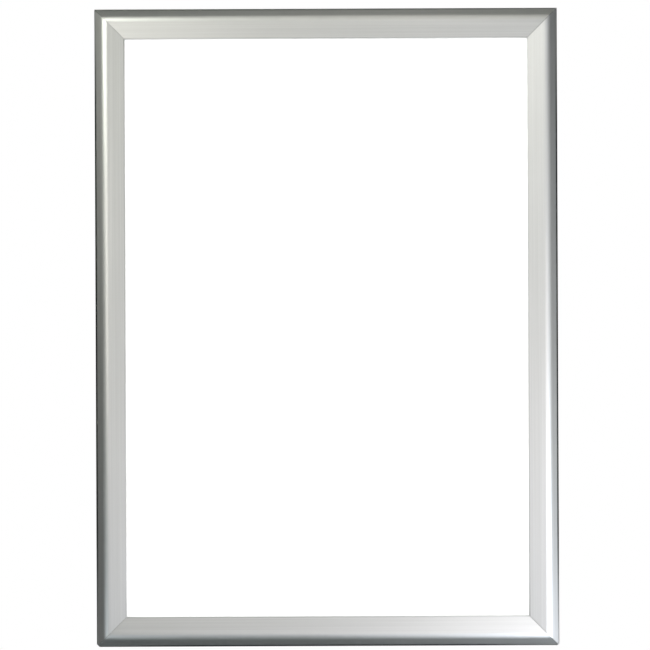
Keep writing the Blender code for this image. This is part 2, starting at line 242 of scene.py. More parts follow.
def cover_outline():
    """The snap cover's section: hook, flank, sloped side, round shoulder, face, lip and catch."""
    pivot = (pivot_u, pivot_w)
    outer_edge = (OUTER_EDGE_RADIUS, pivot_w + pivot_u)
    side_start = polar(outer_edge, OUTER_EDGE_RADIUS, side_normal)
    side_end = polar(side_start, SIDE_RUN / cos(SIDE_ANGLE), SIDE_ANGLE)
    shoulder = polar(side_end, -SHOULDER_RADIUS, side_normal)
    face_start = polar(shoulder, SHOULDER_RADIUS, face_normal)
    under_start = polar(face_start, -COVER_WALL, face_normal)

    def below_face(u, depth):
        """The height at u of the line that lies this deep below the face."""
        start = polar(face_start, -depth, face_normal)
        return start[1] - (u - start[0]) * tan(FACE_FALL)

    edge_u = PROFILE_WIDTH - LIP_EDGE_RADIUS
    edge = (edge_u, below_face(edge_u, LIP_EDGE_RADIUS))
    tip_radius = COVER_WALL / 2
    tip = (PROFILE_WIDTH - tip_radius, lip_bottom + tip_radius)
    lip_inside = PROFILE_WIDTH - COVER_WALL
    foot_radius = CATCH_FOOT / 2
    foot = (catch_u - groove_radius, catch_w - groove_radius - foot_radius)
    foot_bottom = foot[1] - foot_radius
    claw_radius = socket_radius + CLAW_WALL
    claw_start = acos((COVER_WALL - pivot_u) / claw_radius)

    points = arc(pivot, hook_radius, HOOK_END_ANGLE, pi)
    points += arc(outer_edge, OUTER_EDGE_RADIUS, pi, side_normal)
    points += arc(shoulder, SHOULDER_RADIUS, side_normal, face_normal)
    points += arc(edge, LIP_EDGE_RADIUS, face_normal, 0)
    points += arc(tip, tip_radius, 0, -pi)
    points += [(lip_inside, below_face(lip_inside, COVER_WALL))]
    points += [(catch_right, below_face(catch_right, COVER_WALL))]
    points += [(catch_right, foot_bottom)]
    points += arc(foot, foot_radius, -pi / 2, -3 * pi / 2)
    points += arc((catch_u, catch_w), groove_radius, -pi / 2, 0)
    points += [(catch_left, below_face(catch_left, COVER_WALL))]
    points += [under_start]
    points += arc(shoulder, SHOULDER_RADIUS - COVER_WALL, face_normal, side_normal)[1:]
    points += arc(outer_edge, OUTER_EDGE_RADIUS - COVER_WALL, side_normal, pi)
    points += arc(pivot, claw_radius, claw_start, HOOK_NOSE_ANGLE)
    points += arc(pivot, socket_radius, HOOK_NOSE_ANGLE, HOOK_END_ANGLE)
    return softened(points)


def shelf_rib(right):
    """One rib under the back panel, walked from right to left along the top of the web."""
    left = right - SHELF_RIB
    return [(right, WEB), (right, shelf_top), (left, shelf_top), (left, WEB)]


def base_outline():
    """The base rail's section: web, shelf ribs, guard wall, bracket channel, spring seat, bead."""
    pivot = (pivot_u, pivot_w)
    head_left = seat_u - groove_radius - SEAT_LIP
    head_right = seat_u + groove_radius + SEAT_LIP
    head_bottom = seat_w - SEAT_HEAD
    neck_angle = asin(PIN_NECK / 2 / PIN_RADIUS)
    inner_edge = shelf_start + SHELF_SPACING + SHELF_RIB
    groove_half = DRILL_GROOVE_WIDTH / 2
    mouth = polar((seat_u, seat_w), groove_radius, SEAT_MOUTH_ANGLE)

    points = [(stem_left, 0), (inner_edge, 0)]
    points += shelf_rib(inner_edge)[1:]
    points += shelf_rib(shelf_start + SHELF_RIB)
    points += [(guard_right, WEB), (guard_right, guard_top), (guard_left, guard_top)]
    points += [(guard_left, channel_lip_top), (guard_left - CHANNEL_LIP, channel_lip_top)]
    points += [(guard_left - CHANNEL_LIP, channel_lip_bottom), (guard_left, channel_lip_bottom)]
    points += [(guard_left, WEB), (channel_middle + groove_half, WEB)]
    points += [(channel_middle, WEB - DRILL_GROOVE_DEPTH), (channel_middle - groove_half, WEB)]
    points += [(stem_right, WEB), (stem_right, channel_lip_bottom)]
    points += [(stem_right + CHANNEL_LIP, channel_lip_bottom)]
    points += [(stem_right + CHANNEL_LIP, channel_lip_top), (stem_right, channel_lip_top)]
    points += [(stem_right, head_bottom), (head_right, head_bottom), (head_right, mouth[1])]
    points += arc((seat_u, seat_w), groove_radius, SEAT_MOUTH_ANGLE, -pi)
    points += [(head_left, seat_w), (head_left, head_bottom), (stem_left, head_bottom)]
    points += [(stem_left, pivot_w + PIN_NECK / 2)]
    points += arc(pivot, PIN_RADIUS, neck_angle, 2 * pi - neck_angle)
    points += [(stem_left, pivot_w - PIN_NECK / 2)]
    return softened(points)


# Placing

def side_matrix(side):
    """Carries section coordinates (u, w, along) of one side of the frame into the world."""
    angle, _, reach, _ = SIDES[side]
    turn = Matrix.Rotation(angle, 3, "Y")
    axes = Matrix((turn @ Vector((0, 0, -1)), Vector((0, -1, 0)), turn @ Vector((-1, 0, 0))))
    place = frame_middle + turn @ Vector((0, 0, reach))
    return Matrix.Translation(place) @ axes.transposed().to_4x4()


def new_object(name, data):
    """An object with this data, in the scene."""
    item = bpy.data.objects.new(name, data)
    bpy.context.scene.collection.objects.link(item)
    return item


def new_piece(name, mesh, matrix, *materials):
    """A mesh object at its place, with its materials and its grain written on its points."""
    grain = mesh.attributes.new("grain", "FLOAT_VECTOR", "POINT")
    for vertex, value in zip(mesh.vertices, grain.data):
        value.vector = vertex.co
    mesh.shade_smooth()
    mesh.set_sharp_from_angle(angle=SHARP_ANGLE)
    for material in materials:
        mesh.materials.append(material)
    piece = new_object(name, mesh)
    piece.matrix_world = matrix
    return piece


def mesh_from(bm, name):
    """A mesh of this bmesh, which is freed."""
    mesh = bpy.data.meshes.new(name)
    bm.to_mesh(mesh)
    bm.free()
    return mesh


def evaluated_mesh(blank, cutters=()):
    """The blank's mesh with its modifiers in it. The blank and its cutters are removed."""
    bpy.context.view_layer.update()
    graph = bpy.context.evaluated_depsgraph_get()
    mesh = bpy.data.meshes.new_from_object(blank.evaluated_get(graph))
    for spare in (blank, *cutters):
        bpy.data.objects.remove(spare, do_unlink=True)
    return mesh


def skin(bm, rings):
    """Faces between each ring of points and the next."""
    for ring, following in zip(rings, rings[1:]):
        for i in range(len(ring)):
            bm.faces.new((ring[i - 1], ring[i], following[i], following[i - 1]))


def cut_plane(bm, point, normal):
    """Cuts away what lies on the side that normal points to, and closes the cut."""
    everything = bm.verts[:] + bm.edges[:] + bm.faces[:]
    bmesh.ops.bisect_plane(
        bm, geom=everything, dist=MERGE_DISTANCE, plane_co=point, plane_no=normal, clear_outer=True
    )
    open_edges = [edge for edge in bm.edges if edge.is_boundary]
    caps = bmesh.ops.holes_fill(bm, edges=open_edges, sides=0)["faces"]
    bmesh.ops.triangulate(bm, faces=caps)


def mitred_bmesh(outline, length, hinged):
    """An extrusion along Z, mitred at both ends. A hinged one also loses its hook's far corners."""
    bm = bmesh.new()
    rings = [[bm.verts.new((u, w, end * length / 2)) for u, w in outline] for end in (-1, 0, 1)]
    skin(bm, rings)
    for end in (1, -1):
        cut_plane(bm, Vector((0, 0, end * (length / 2 - mitre_setback))), Vector((1, 0, end)))
        if hinged:
            hook = Vector((pivot_u, pivot_w, end * (length / 2 - pivot_u - mitre_setback)))
            cut_plane(bm, hook, Vector((0, -1, end)))
    bmesh.ops.recalc_face_normals(bm, faces=bm.faces)
    return bm


# Faces whose normal has more than this along the length are sawn ends
SAWN_END_SLOPE = 0.5


def mark_mitres(mesh, length):
    """Writes each point's distance from the nearer mitre, and gives sawn ends the second slot."""
    distance = mesh.attributes.new("mitre", "FLOAT", "POINT")
    for vertex, value in zip(mesh.vertices, distance.data):
        value.value = length / 2 - abs(vertex.co.z) - vertex.co.x
    for face in mesh.polygons:
        if abs(face.normal.z) > SAWN_END_SLOPE:
            face.material_index = 1


def mark_painted_shading(mesh, length, outer_shade_strength, face_light_ends):
    """Writes each point's share of its half's length, painted edge shade and painted face light."""
    painted_shading = mesh.attributes.new("painted_shading", "FLOAT_VECTOR", "POINT")
    for vertex, value in zip(mesh.vertices, painted_shading.data):
        share = vertex.co.z / length + 0.5
        # The face's painted light, from one end's value to the other's
        tone = face_light_ends[0] + (face_light_ends[1] - face_light_ends[0]) * share
        value.vector = (abs(vertex.co.z) * 2 / length, outer_shade_strength, tone)


# Materials

# The Mix node's sockets for colours, which share their names with those for other data
MIX_FIRST, MIX_SECOND, MIX_RESULT = 6, 7, 2


class Nodes:
    """A node tree that is put together one node at a time."""

    def __init__(self, tree):
        self.tree = tree

    def add(self, kind, inputs=(), **settings):
        """A node with its settings, whose inputs are values or other nodes' outputs."""
        node = self.tree.nodes.new(kind)
        for key, value in settings.items():
            setattr(node, key, value)
        for key, value in dict(inputs).items():
            if isinstance(value, bpy.types.NodeSocket):
                self.tree.links.new(value, node.inputs[key])
            else:
                node.inputs[key].default_value = value
        return node

    def vector(self, operation, a, b=(0, 0, 0), result="Vector"):
        """One operation on two vectors, and this result of it."""
        node = self.add("ShaderNodeVectorMath", {0: a, 1: b}, operation=operation)
        return node.outputs[result]

    def math(self, operation, a, b=0.0):
        """One operation on two values."""
        return self.add("ShaderNodeMath", {0: a, 1: b}, operation=operation).outputs["Value"]

    def ramp(self, value, low, high, start, end, smooth=False):
        """Maps low..high to start..end."""
        kind = "SMOOTHSTEP" if smooth else "LINEAR"
        inputs = {"Value": value, "From Min": low, "From Max": high, "To Min": start, "To Max": end}
        return self.add("ShaderNodeMapRange", inputs, interpolation_type=kind).outputs["Result"]

    def noise(self, vector, detail=3.0, roughness=0.5):
        """Noise from 0 to 1 whose features are one unit of the coordinates."""
        inputs = {"Vector": vector, "Scale": 1.0, "Detail": detail, "Roughness": roughness}
        return self.add("ShaderNodeTexNoise", inputs).outputs["Fac"]

    def blend(self, factor, first, second):
        """A mix of two colours by factor."""
        inputs = {"Factor": factor}
        for socket, colour in ((MIX_FIRST, first), (MIX_SECOND, second)):
            plain = isinstance(colour, tuple)
            inputs[socket] = (*colour, 1.0) if plain else colour
        return self.add("ShaderNodeMix", inputs, data_type="RGBA").outputs[MIX_RESULT]

    def attribute(self, name, result="Vector"):
        """What a mesh has written on its points under this name."""
        return self.add("ShaderNodeAttribute", attribute_name=name).outputs[result]

    def axes(self, vector):
        """The X, Y and Z of a vector."""
        return self.add("ShaderNodeSeparateXYZ", {"Vector": vector}).outputs

    def scaled(self, vector, factor):
        """A vector or colour times a value."""
        inputs = {0: vector, "Scale": factor}
        return self.add("ShaderNodeVectorMath", inputs, operation="SCALE").outputs["Vector"]


class Surface(Nodes):
    """A Principled material whose nodes are added one by one."""

    def __init__(self, name, **constants):
        self.material = bpy.data.materials.new(name)
        self.material.use_nodes = True
        super().__init__(self.material.node_tree)
        self.shader = self.tree.nodes["Principled BSDF"]
        for socket, value in constants.items():
            self.shader.inputs[socket.replace("_", " ")].default_value = value

    def feed(self, socket, output):
        """Links an output to one of the shader's sockets."""
        self.tree.links.new(output, self.shader.inputs[socket])

    def grain(self, across, along):
        """Coordinates on the piece, with these feature sizes across and along its length."""
        place = self.attribute("grain")
        return self.vector("MULTIPLY", place, (1 / across, 1 / across, 1 / along))

    def bump(self, height, distance, below=None):
        """Relief of this depth, on top of the relief below."""
        inputs = {"Height": height, "Distance": distance, "Strength": 1.0}
        if below is not None:
            inputs["Normal"] = below
        return self.add("ShaderNodeBump", inputs).outputs["Normal"]


# The spans of a noise that are stretched over a look's range: a narrow one gives more contrast
NOISE_SPAN = (0.3, 0.7)
NARROW_NOISE_SPAN = (0.35, 0.65)
COARSE_NOISE_SPAN = (0.25, 0.75)
FINE_NOISE_SPAN = (0.2, 0.8)

# Anodised metal: feature sizes across and along a piece, depths of relief, and what each changes
DIE_LINES = (0.00035, 0.120)
DIE_LINE_DEPTH = 0.000001
DIE_LINE_TINT = 0.6
COARSE_DIE_LINES = (0.0016, 0.300)
COARSE_DIE_LINE_TONE = 0.035
METAL_GRAIN = (0.00025, 0.00045)
METAL_GRAIN_DEPTH = 0.000002
METAL_GRAIN_ROUGHNESS = 0.03
CLOUDS = (0.045, 0.160)
CLOUD_TINT = 0.4
CLOUD_ROUGHNESS = 0.006
SATIN_COLOURS = ((0.72, 0.72, 0.72), (0.776, 0.776, 0.776))
SATIN_ROUGHNESS = 0.36
MILL_COLOURS = ((0.66, 0.66, 0.66), (0.76, 0.76, 0.76))
MILL_ROUGHNESS = 0.42
MILL_METALLIC = 0.85

# Painted shade of the gap at the mitres: distances from the mitre, strength and colour
MITRE_SHADE_SPAN = (0.0001, 0.0009)
MITRE_SHADE_STRENGTH = 0.9
MITRE_SHADE_COLOUR = (0.45, 0.45, 0.45)

# The span of w over which the painted shade at the outer edge and the lip sets in, which keeps it
# off the rails
PAINTED_SHADE_FOOT = (0.0050, 0.0060)

# Painted shade, a dark line along the covers' outer edge: its tone, the span of u over which it
# fades, the share of half a side's length over which it fades to the corners, and its strength on
# each side. The dark line along the covers' outer edge, which the photograph shows and whose
# cause isn't known: its tone, the span of u over which it fades, the share of half a side's
# length over which it fades to the corners, and its strength on each side
OUTER_SHADE_TONE = (0.05, 0.052, 0.055)
OUTER_SHADE_WIDTH = (0.0013, 0.0021)
OUTER_SHADE_ENDS = (0.60, 1.00)
OUTER_SHADE_STRENGTH = {"top": 0.25, "right": 0.95, "bottom": 0.75, "left": 1.00}

# Painted shade along the inner lip, where it meets the clear sheet: the span of u over which it
# sets in, how much darker it is in the middle of a side, how much more at the corners, and from
# what share of half a side's length that more sets in
LIP_SHADE_START = (PROFILE_WIDTH - 0.0013, PROFILE_WIDTH - 0.0006)
LIP_SHADE_DEPTH = 0.16
LIP_SHADE_CORNERS = 0.20
LIP_SHADE_CORNER_START = 0.75

# Painted light and shade: how much lighter each cover's face is painted against its sloped
# side, at the two ends of its length. Fitted to the photograph, where the faces differ by more
# than the tent's lamps could be made to explain. Why they differ isn't known.
FACE_START = (0.0090, 0.0140)
FACE_PAINTED_LIGHT = {
    "top": (0.875, 0.893),
    "right": (0.843, 1.208),
    "bottom": (0.774, 0.988),
    "left": (0.805, 0.928),
}

# How far the outer corners at the bottom are filed off, at the two ends of each side's length
FILED_CORNERS = {"bottom": (0.0030, 0.0020), "right": (0.0020, 0.0), "left": (0.0, 0.0030)}


def painted_shade_foot(surface, section):
    """0 near the wall and 1 at the height of the covers' edges."""
    return surface.ramp(section["Y"], *PAINTED_SHADE_FOOT, 0.0, 1.0, smooth=True)


def painted_outer_shade(surface, section, painted_shading):
    """How much of the painted shade along the outer edge a point has, from 0 to 1."""
    outermost = surface.ramp(section["X"], *OUTER_SHADE_WIDTH, 1.0, 0.0, smooth=True)
    from_corner = surface.ramp(painted_shading["X"], *OUTER_SHADE_ENDS, 1.0, 0.0, smooth=True)
    line = surface.math("MULTIPLY", outermost, painted_shade_foot(surface, section))
    line = surface.math("MULTIPLY", line, from_corner)
    return surface.math("MULTIPLY", line, painted_shading["Y"])


def painted_lip_shade(surface, section, painted_shading):
    """How much darker the painted shade along the inner lip makes a point."""
    lip = surface.ramp(section["X"], *LIP_SHADE_START, 0.0, 1.0, smooth=True)
    lip = surface.math("MULTIPLY", lip, painted_shade_foot(surface, section))
    corner_span = (LIP_SHADE_CORNER_START, 1.0)
    near_corner = surface.ramp(painted_shading["X"], *corner_span, 0.0, LIP_SHADE_CORNERS, smooth=True)
    return surface.math("MULTIPLY", lip, surface.math("ADD", near_corner, LIP_SHADE_DEPTH))


def painted_face_light(surface, section, painted_shading):
    """How much lighter than the metal a point on the face is painted, as painted light and shade.
    """
    face = surface.ramp(section["X"], *FACE_START, 0.0, 1.0, smooth=True)
    return surface.math("MULTIPLY", face, surface.math("SUBTRACT", painted_shading["Z"], 1.0))


def anodised(name, dark, light, roughness, metallic=1.0):
    """Satin anodised extrusion: die lines, grain, clouds, painted edge shade and face light."""
    surface = Surface(name, Metallic=metallic)
    lines = surface.noise(surface.grain(*DIE_LINES), detail=3.0, roughness=0.6)
    coarse = surface.noise(surface.grain(*COARSE_DIE_LINES), detail=1.0)
    grain = surface.noise(surface.grain(*METAL_GRAIN), detail=2.0)
    cloud = surface.noise(surface.grain(*CLOUDS), detail=2.0)
    section = surface.axes(surface.grain(1.0, 1.0))
    painted_shading = surface.axes(surface.attribute("painted_shading"))
    mitre = surface.attribute("mitre", "Fac")

    streaks = surface.ramp(lines, *NOISE_SPAN, 0.0, DIE_LINE_TINT)
    clouds = surface.ramp(cloud, *NOISE_SPAN, 0.0, CLOUD_TINT)
    base = surface.blend(surface.math("ADD", streaks, clouds), dark, light)
    coarse_tone = (-COARSE_DIE_LINE_TONE, COARSE_DIE_LINE_TONE)
    coarse_lines = surface.ramp(coarse, *COARSE_NOISE_SPAN, *coarse_tone)
    # The face's painted light and shade, and the coarse die lines' tone
    tone = surface.math("ADD", painted_face_light(surface, section, painted_shading), coarse_lines)
    # Painted shade along the inner lip
    tone = surface.math("SUBTRACT", tone, painted_lip_shade(surface, section, painted_shading))
    toned = surface.scaled(base, surface.math("ADD", tone, 1.0))
    # Painted shade: the dark line along the covers' outer edge
    edge_shaded = surface.blend(painted_outer_shade(surface, section, painted_shading), toned, OUTER_SHADE_TONE)
    # Painted shade in the mitre gaps
    mitre_shade = surface.ramp(mitre, *MITRE_SHADE_SPAN, MITRE_SHADE_STRENGTH, 0.0, smooth=True)
    surface.feed("Base Color", surface.blend(mitre_shade, edge_shaded, MITRE_SHADE_COLOUR))

    patchy = surface.ramp(cloud, *NARROW_NOISE_SPAN, -CLOUD_ROUGHNESS, CLOUD_ROUGHNESS)
    fine = surface.ramp(grain, *FINE_NOISE_SPAN, -METAL_GRAIN_ROUGHNESS, METAL_GRAIN_ROUGHNESS)
    uneven = surface.math("ADD", patchy, roughness)
    surface.feed("Roughness", surface.math("ADD", uneven, fine))
    relief = surface.bump(lines, DIE_LINE_DEPTH)
    surface.feed("Normal", surface.bump(grain, METAL_GRAIN_DEPTH, below=relief))
    return surface.material


SAW_CENTRE = (0.12, 0.05, 0.0)
SAW_ARC = 0.00025
SAW_DEPTH = 0.00002
SAWN_COLOURS = ((0.72, 0.72, 0.72), (0.86, 0.86, 0.87))
SAWN_ROUGHNESS = (0.26, 0.42)


def sawn():
    """Bright metal with the arcs of a saw blade, on the mitred ends."""
    surface = Surface("sawn_aluminium", Metallic=1.0)
    place = surface.grain(1.0, 1.0)
    radius = surface.vector("DISTANCE", place, SAW_CENTRE, "Value")
    along_radius = {"W": surface.math("DIVIDE", radius, SAW_ARC), "Scale": 1.0, "Detail": 2.0}
    noise = surface.add("ShaderNodeTexNoise", along_radius, noise_dimensions="1D")
    arcs = noise.outputs["Fac"]
    surface.feed("Base Color", surface.blend(arcs, *SAWN_COLOURS))
    surface.feed("Roughness", surface.ramp(arcs, *NOISE_SPAN, *SAWN_ROUGHNESS))
    surface.feed("Normal", surface.bump(arcs, SAW_DEPTH))
    return surface.material


ROLLING_LINES = (0.00025, 0.012)
ROLLING_DEPTH = 0.000008
TEMPER_PATCHES = (0.004, 0.014)
TEMPER_COLOURS = ((0.34, 0.33, 0.32), (0.30, 0.33, 0.38))
STRIP_ROUGHNESS = (0.24, 0.38)


def spring_steel():
    """Cold-rolled strip with rolling lines and a faint straw to blue temper tint."""
    surface = Surface("tempered_strip", Metallic=1.0)
    lines = surface.noise(surface.grain(*ROLLING_LINES), detail=3.0)
    tint = surface.noise(surface.grain(*TEMPER_PATCHES), detail=2.0)
    temper = surface.ramp(tint, *NARROW_NOISE_SPAN, 0.0, 1.0)
    surface.feed("Base Color", surface.blend(temper, *TEMPER_COLOURS))
    surface.feed("Roughness", surface.ramp(lines, *NOISE_SPAN, *STRIP_ROUGHNESS))
    surface.feed("Normal", surface.bump(lines, ROLLING_DEPTH))
    return surface.material


ZINC_PATCHES = (0.006, 0.006)
ZINC_PITS = (0.0005, 0.0005)
ZINC_PIT_DEPTH = 0.00001
ZINC_COLOURS = ((0.60, 0.63, 0.68), (0.70, 0.68, 0.62))
ZINC_ROUGHNESS = (0.28, 0.46)


def zinc():
    """Bright zinc plate over pressed steel: faint blue and straw patches and a fine pitting."""
    surface = Surface("bright_zinc", Metallic=1.0)
    patches = surface.noise(surface.grain(*ZINC_PATCHES), detail=2.0)
    pits = surface.noise(surface.grain(*ZINC_PITS), detail=3.0)
    tint = surface.ramp(patches, *NARROW_NOISE_SPAN, 0.0, 1.0)
    surface.feed("Base Color", surface.blend(tint, *ZINC_COLOURS))
    surface.feed("Roughness", surface.ramp(pits, *NOISE_SPAN, *ZINC_ROUGHNESS))
    surface.feed("Normal", surface.bump(pits, ZINC_PIT_DEPTH))
    return surface.material


SHEET_PEEL = (0.0016, 0.0022)
SHEET_PEEL_DEPTH = 0.00003
SHEET_CLOUDS = (0.09, 0.12)
SHEET_COLOURS = ((0.83, 0.83, 0.82), (0.88, 0.88, 0.87))
SHEET_ROUGHNESS = (0.42, 0.58)


def polystyrene():
    """Matt white sheet with the shallow orange peel of calendered plastic."""
    surface = Surface("white_polystyrene_sheet", Specular_IOR_Level=0.45)
    peel = surface.noise(surface.grain(*SHEET_PEEL), detail=2.0)
    cloud = surface.noise(surface.grain(*SHEET_CLOUDS), detail=2.0)
    surface.feed("Base Color", surface.blend(cloud, *SHEET_COLOURS))
    surface.feed("Roughness", surface.ramp(peel, *NOISE_SPAN, *SHEET_ROUGHNESS))
    surface.feed("Normal", surface.bump(peel, SHEET_PEEL_DEPTH))
    return surface.material


PAPER_FIBRES = (0.0006, 0.0009)
PAPER_FIBRE_DEPTH = 0.00002
PAPER_CLOUDS = (0.012, 0.012)
PAPER_COLOURS = ((0.93, 0.93, 0.925), (0.95, 0.95, 0.95))


def paper():
    """Uncoated white paper: fibre relief and a barely uneven white."""
    surface = Surface("blank_white_paper", Specular_IOR_Level=0.2, Roughness=0.9)
    fibres = surface.noise(surface.grain(*PAPER_FIBRES), detail=4.0, roughness=0.6)
    cloud = surface.noise(surface.grain(*PAPER_CLOUDS), detail=2.0)
    surface.feed("Base Color", surface.blend(cloud, *PAPER_COLOURS))
    surface.feed("Normal", surface.bump(fibres, PAPER_FIBRE_DEPTH))
    return surface.material


ETCHING = (0.0004, 0.0004)
ETCHING_DEPTH = 0.000006
ETCHED_COLOURS = ((0.94, 0.95, 0.95), (0.98, 0.98, 0.98))
ETCHED_ROUGHNESS = (0.30, 0.42)


def clear_plastic():
    """Clear anti-glare sheet: a matt skin over what lies behind it."""
    surface = Surface("anti_glare_sheet", Alpha=0.12, IOR=1.5, Specular_IOR_Level=0.5)
    etch = surface.noise(surface.grain(*ETCHING), detail=3.0)
    surface.feed("Base Color", surface.blend(etch, *ETCHED_COLOURS))
    surface.feed("Roughness", surface.ramp(etch, *NOISE_SPAN, *ETCHED_ROUGHNESS))
    surface.feed("Normal", surface.bump(etch, ETCHING_DEPTH))
    return surface.material


# Pieces

def add_snap_covers(metal, cut):
    """The four visible covers, each riding on its hinge."""
    outline = cover_outline()
    for side, (_, length, _, _) in SIDES.items():
        name = f"satin_cover_{side}"
        bm = mitred_bmesh(outline, length, hinged=True)
        for end, filed in zip((-1, 1), FILED_CORNERS.get(side, (0.0, 0.0))):
            if filed:
                cut_plane(bm, Vector((0, 0, end * (length / 2 - filed))), Vector((-1, 0, end)))
        mesh = mesh_from(bm, name)
        mark_mitres(mesh, length)
        mark_painted_shading(mesh, length, OUTER_SHADE_STRENGTH[side], FACE_PAINTED_LIGHT[side])
        cover = new_piece(name, mesh, side_matrix(side), metal, cut)
        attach(cover, f"cover_{side}")
        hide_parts(f"snap_cover_{side}")


def bored_mesh(bm, name, length):
    """The rail's mesh with its two countersunk screw holes cut through the web."""
    blank = new_object(name, mesh_from(bm, name))
    slope = tan(COUNTERSINK_ANGLE)
    cutters = []
    for end in (-1, 1):
        cone = bmesh.new()
        bmesh.ops.create_cone(
            cone,
            cap_ends=True,
            segments=CONE_SEGMENTS,
            radius1=SCREW_RADIUS - WEB * slope,
            radius2=SCREW_RADIUS + 2 * WEB * slope,
            depth=3 * WEB,
            matrix=Matrix.Rotation(-pi / 2, 4, "X"),
        )
        cutter = new_object(f"{name}_cutter", mesh_from(cone, f"{name}_cutter"))
        along = end * (length / 2 - SCREW_FROM_CORNER)
        cutter.matrix_world = Matrix.Translation((channel_middle, WEB / 2, along))
        cut = blank.modifiers.new("screw_hole", "BOOLEAN")
        cut.operation = "DIFFERENCE"
        cut.object = cutter
        cutters.append(cutter)
    return evaluated_mesh(blank, cutters)


def add_base_rails(metal, cut):
    """The wall's four rails and their screw holes, with no painted outer shade or face light."""
    outline = base_outline()
    for side, (_, length, _, _) in SIDES.items():
        name = f"wall_rail_{side}"
        mesh = bored_mesh(mitred_bmesh(outline, length, hinged=False), name, length)
        mark_mitres(mesh, length)
        mark_painted_shading(mesh, length, 0.0, (1.0, 1.0))
        rail = new_piece(name, mesh, side_matrix(side), metal, cut)
        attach(rail, "wall_frame")
        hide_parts(f"base_rail_{side}")


def spring_mesh(name):
    """A bow of strip with rounded corners and edges, between the seat and the catch."""
    chord = hypot(catch_u - seat_u, catch_w - seat_w)
    tilt = atan2(catch_w - seat_w, catch_u - seat_u)
    rise = SPRING_RISE_SHARE * chord
    half_sweep = 2 * atan2(rise, chord / 2)
    radius = chord / 2 / sin(half_sweep)
    middle = polar((seat_u, seat_w), chord / 2, tilt)
    centre = polar(middle, rise - radius, tilt + pi / 2)
    start = tilt + pi / 2 + half_sweep
    corner = SPRING_CORNER_RADIUS
    half = SPRING_THICKNESS / 2
    bevel = half * SPRING_BEVEL_SHARE
    rings = []
    bm = bmesh.new()
    for step in range(SPRING_STEPS + 1):
        share = step / SPRING_STEPS
        angle = start - 2 * half_sweep * share
        from_end = min(share, 1 - share) * 2 * half_sweep * radius
        inset = corner - sqrt(max(0.0, corner**2 - max(0.0, corner - from_end) ** 2))
        reach = SPRING_WIDTH / 2 - inset
        thin = min(1.0, SPRING_END_SHARE + from_end / half * (1 - SPRING_END_SHARE))
        ring = []
        for offset, along in (
            (half, -reach + bevel),
            (half, reach - bevel),
            (half - bevel, reach),
            (bevel - half, reach),
            (-half, reach - bevel),
            (-half, bevel - reach),
            (bevel - half, -reach),
            (half - bevel, -reach),
        ):
            u, w = polar(centre, radius + offset * thin, angle)
            ring.append(bm.verts.new((u, w, along)))
        rings.append(ring)
    skin(bm, rings)
    bm.faces.new(rings[0])
    bm.faces.new(reversed(rings[-1]))
    bmesh.ops.recalc_face_normals(bm, faces=bm.faces)
    return mesh_from(bm, name)


def add_spring_clips(steel):
    """The bow springs between the rail and its cover."""
    for side, (_, _, _, count) in SIDES.items():
        for number in range(1, count + 1):
            name = f"bow_spring_{side}_{number}"
            along = (number - (count + 1) / 2) * SPRING_PITCH
            matrix = side_matrix(side)
            place = matrix @ Matrix.Translation((0, 0, along))
            clip = new_piece(name, spring_mesh(name), place, steel)
            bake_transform(clip)
            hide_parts(f"spring_clip_{side}_{number}")


def bracket_outlines():
    """The corner bracket seen from the front, as its L and its two staking holes."""
    near = stem_right + CLEARANCE
    far = near + bracket_width
    round_off = BRACKET_CORNER_RADIUS
    outside = arc((near + round_off, near + round_off), round_off, pi, 3 * pi / 2)
    ends = arc((BRACKET_LEG - round_off, near + round_off), round_off, -pi / 2, 0)
    ends += arc((BRACKET_LEG - round_off, far - round_off), round_off, 0, pi / 2)
    inside = [(far, far)]
    mirrored_ends = [(b, a) for a, b in reversed(ends)]
    hole = (BRACKET_LEG - BRACKET_HOLE_FROM_END, (near + far) / 2)
    holes = [arc(hole, BRACKET_HOLE_RADIUS, 0, 2 * pi)[:-1]]
    holes += [arc(hole[::-1], BRACKET_HOLE_RADIUS, 0, 2 * pi)[:-1]]
    return [outside + ends + inside + mirrored_ends, *holes]


def pressed_mesh(name, outlines, thickness, edge):
    """A flat blank of this outline with rounded edges, centred on its local XY plane."""
    curve = bpy.data.curves.new(name, "CURVE")
    curve.dimensions = "2D"
    curve.fill_mode = "BOTH"
    curve.extrude = thickness / 2 - edge
    curve.bevel_depth = edge
    curve.bevel_resolution = 2
    curve.offset = -edge
    for outline in outlines:
        spline = curve.splines.new("POLY")
        spline.points.add(len(outline) - 1)
        for point, (x, y) in zip(spline.points, outline):
            point.co = (x, y, 0, 1)
        spline.use_cyclic_u = True
    mesh = evaluated_mesh(new_object(name, curve))
    bm = bmesh.new()
    bm.from_mesh(mesh)
    bmesh.ops.remove_doubles(bm, verts=bm.verts, dist=MERGE_DISTANCE)
    bpy.data.meshes.remove(mesh)
    return mesh_from(bm, name)


def add_corner_brackets(plating):
    """The flat steel angles in the corners of the channels."""
    outlines = bracket_outlines()
    for corner, (angle, half_width, half_height) in CORNERS.items():
        turn = Matrix.Rotation(angle, 3, "Y")
        inward = Matrix((turn @ Vector((-1, 0, 0)), turn @ Vector((0, 0, -1)), Vector((0, -1, 0))))
        outer_corner = frame_middle + turn @ Vector((half_width, 0, half_height))
        matrix = Matrix.Translation(outer_corner) @ inward.transposed().to_4x4()
        lift = Matrix.Translation((0, 0, (bracket_bottom + bracket_top) / 2))
        name = f"plated_bracket_{corner}"
        mesh = pressed_mesh(name, outlines, BRACKET_THICKNESS, BRACKET_EDGE_RADIUS)
        bracket = new_piece(name, mesh, matrix @ lift, plating)
        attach(bracket, "wall_frame")
        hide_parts(f"corner_bracket_{corner}")


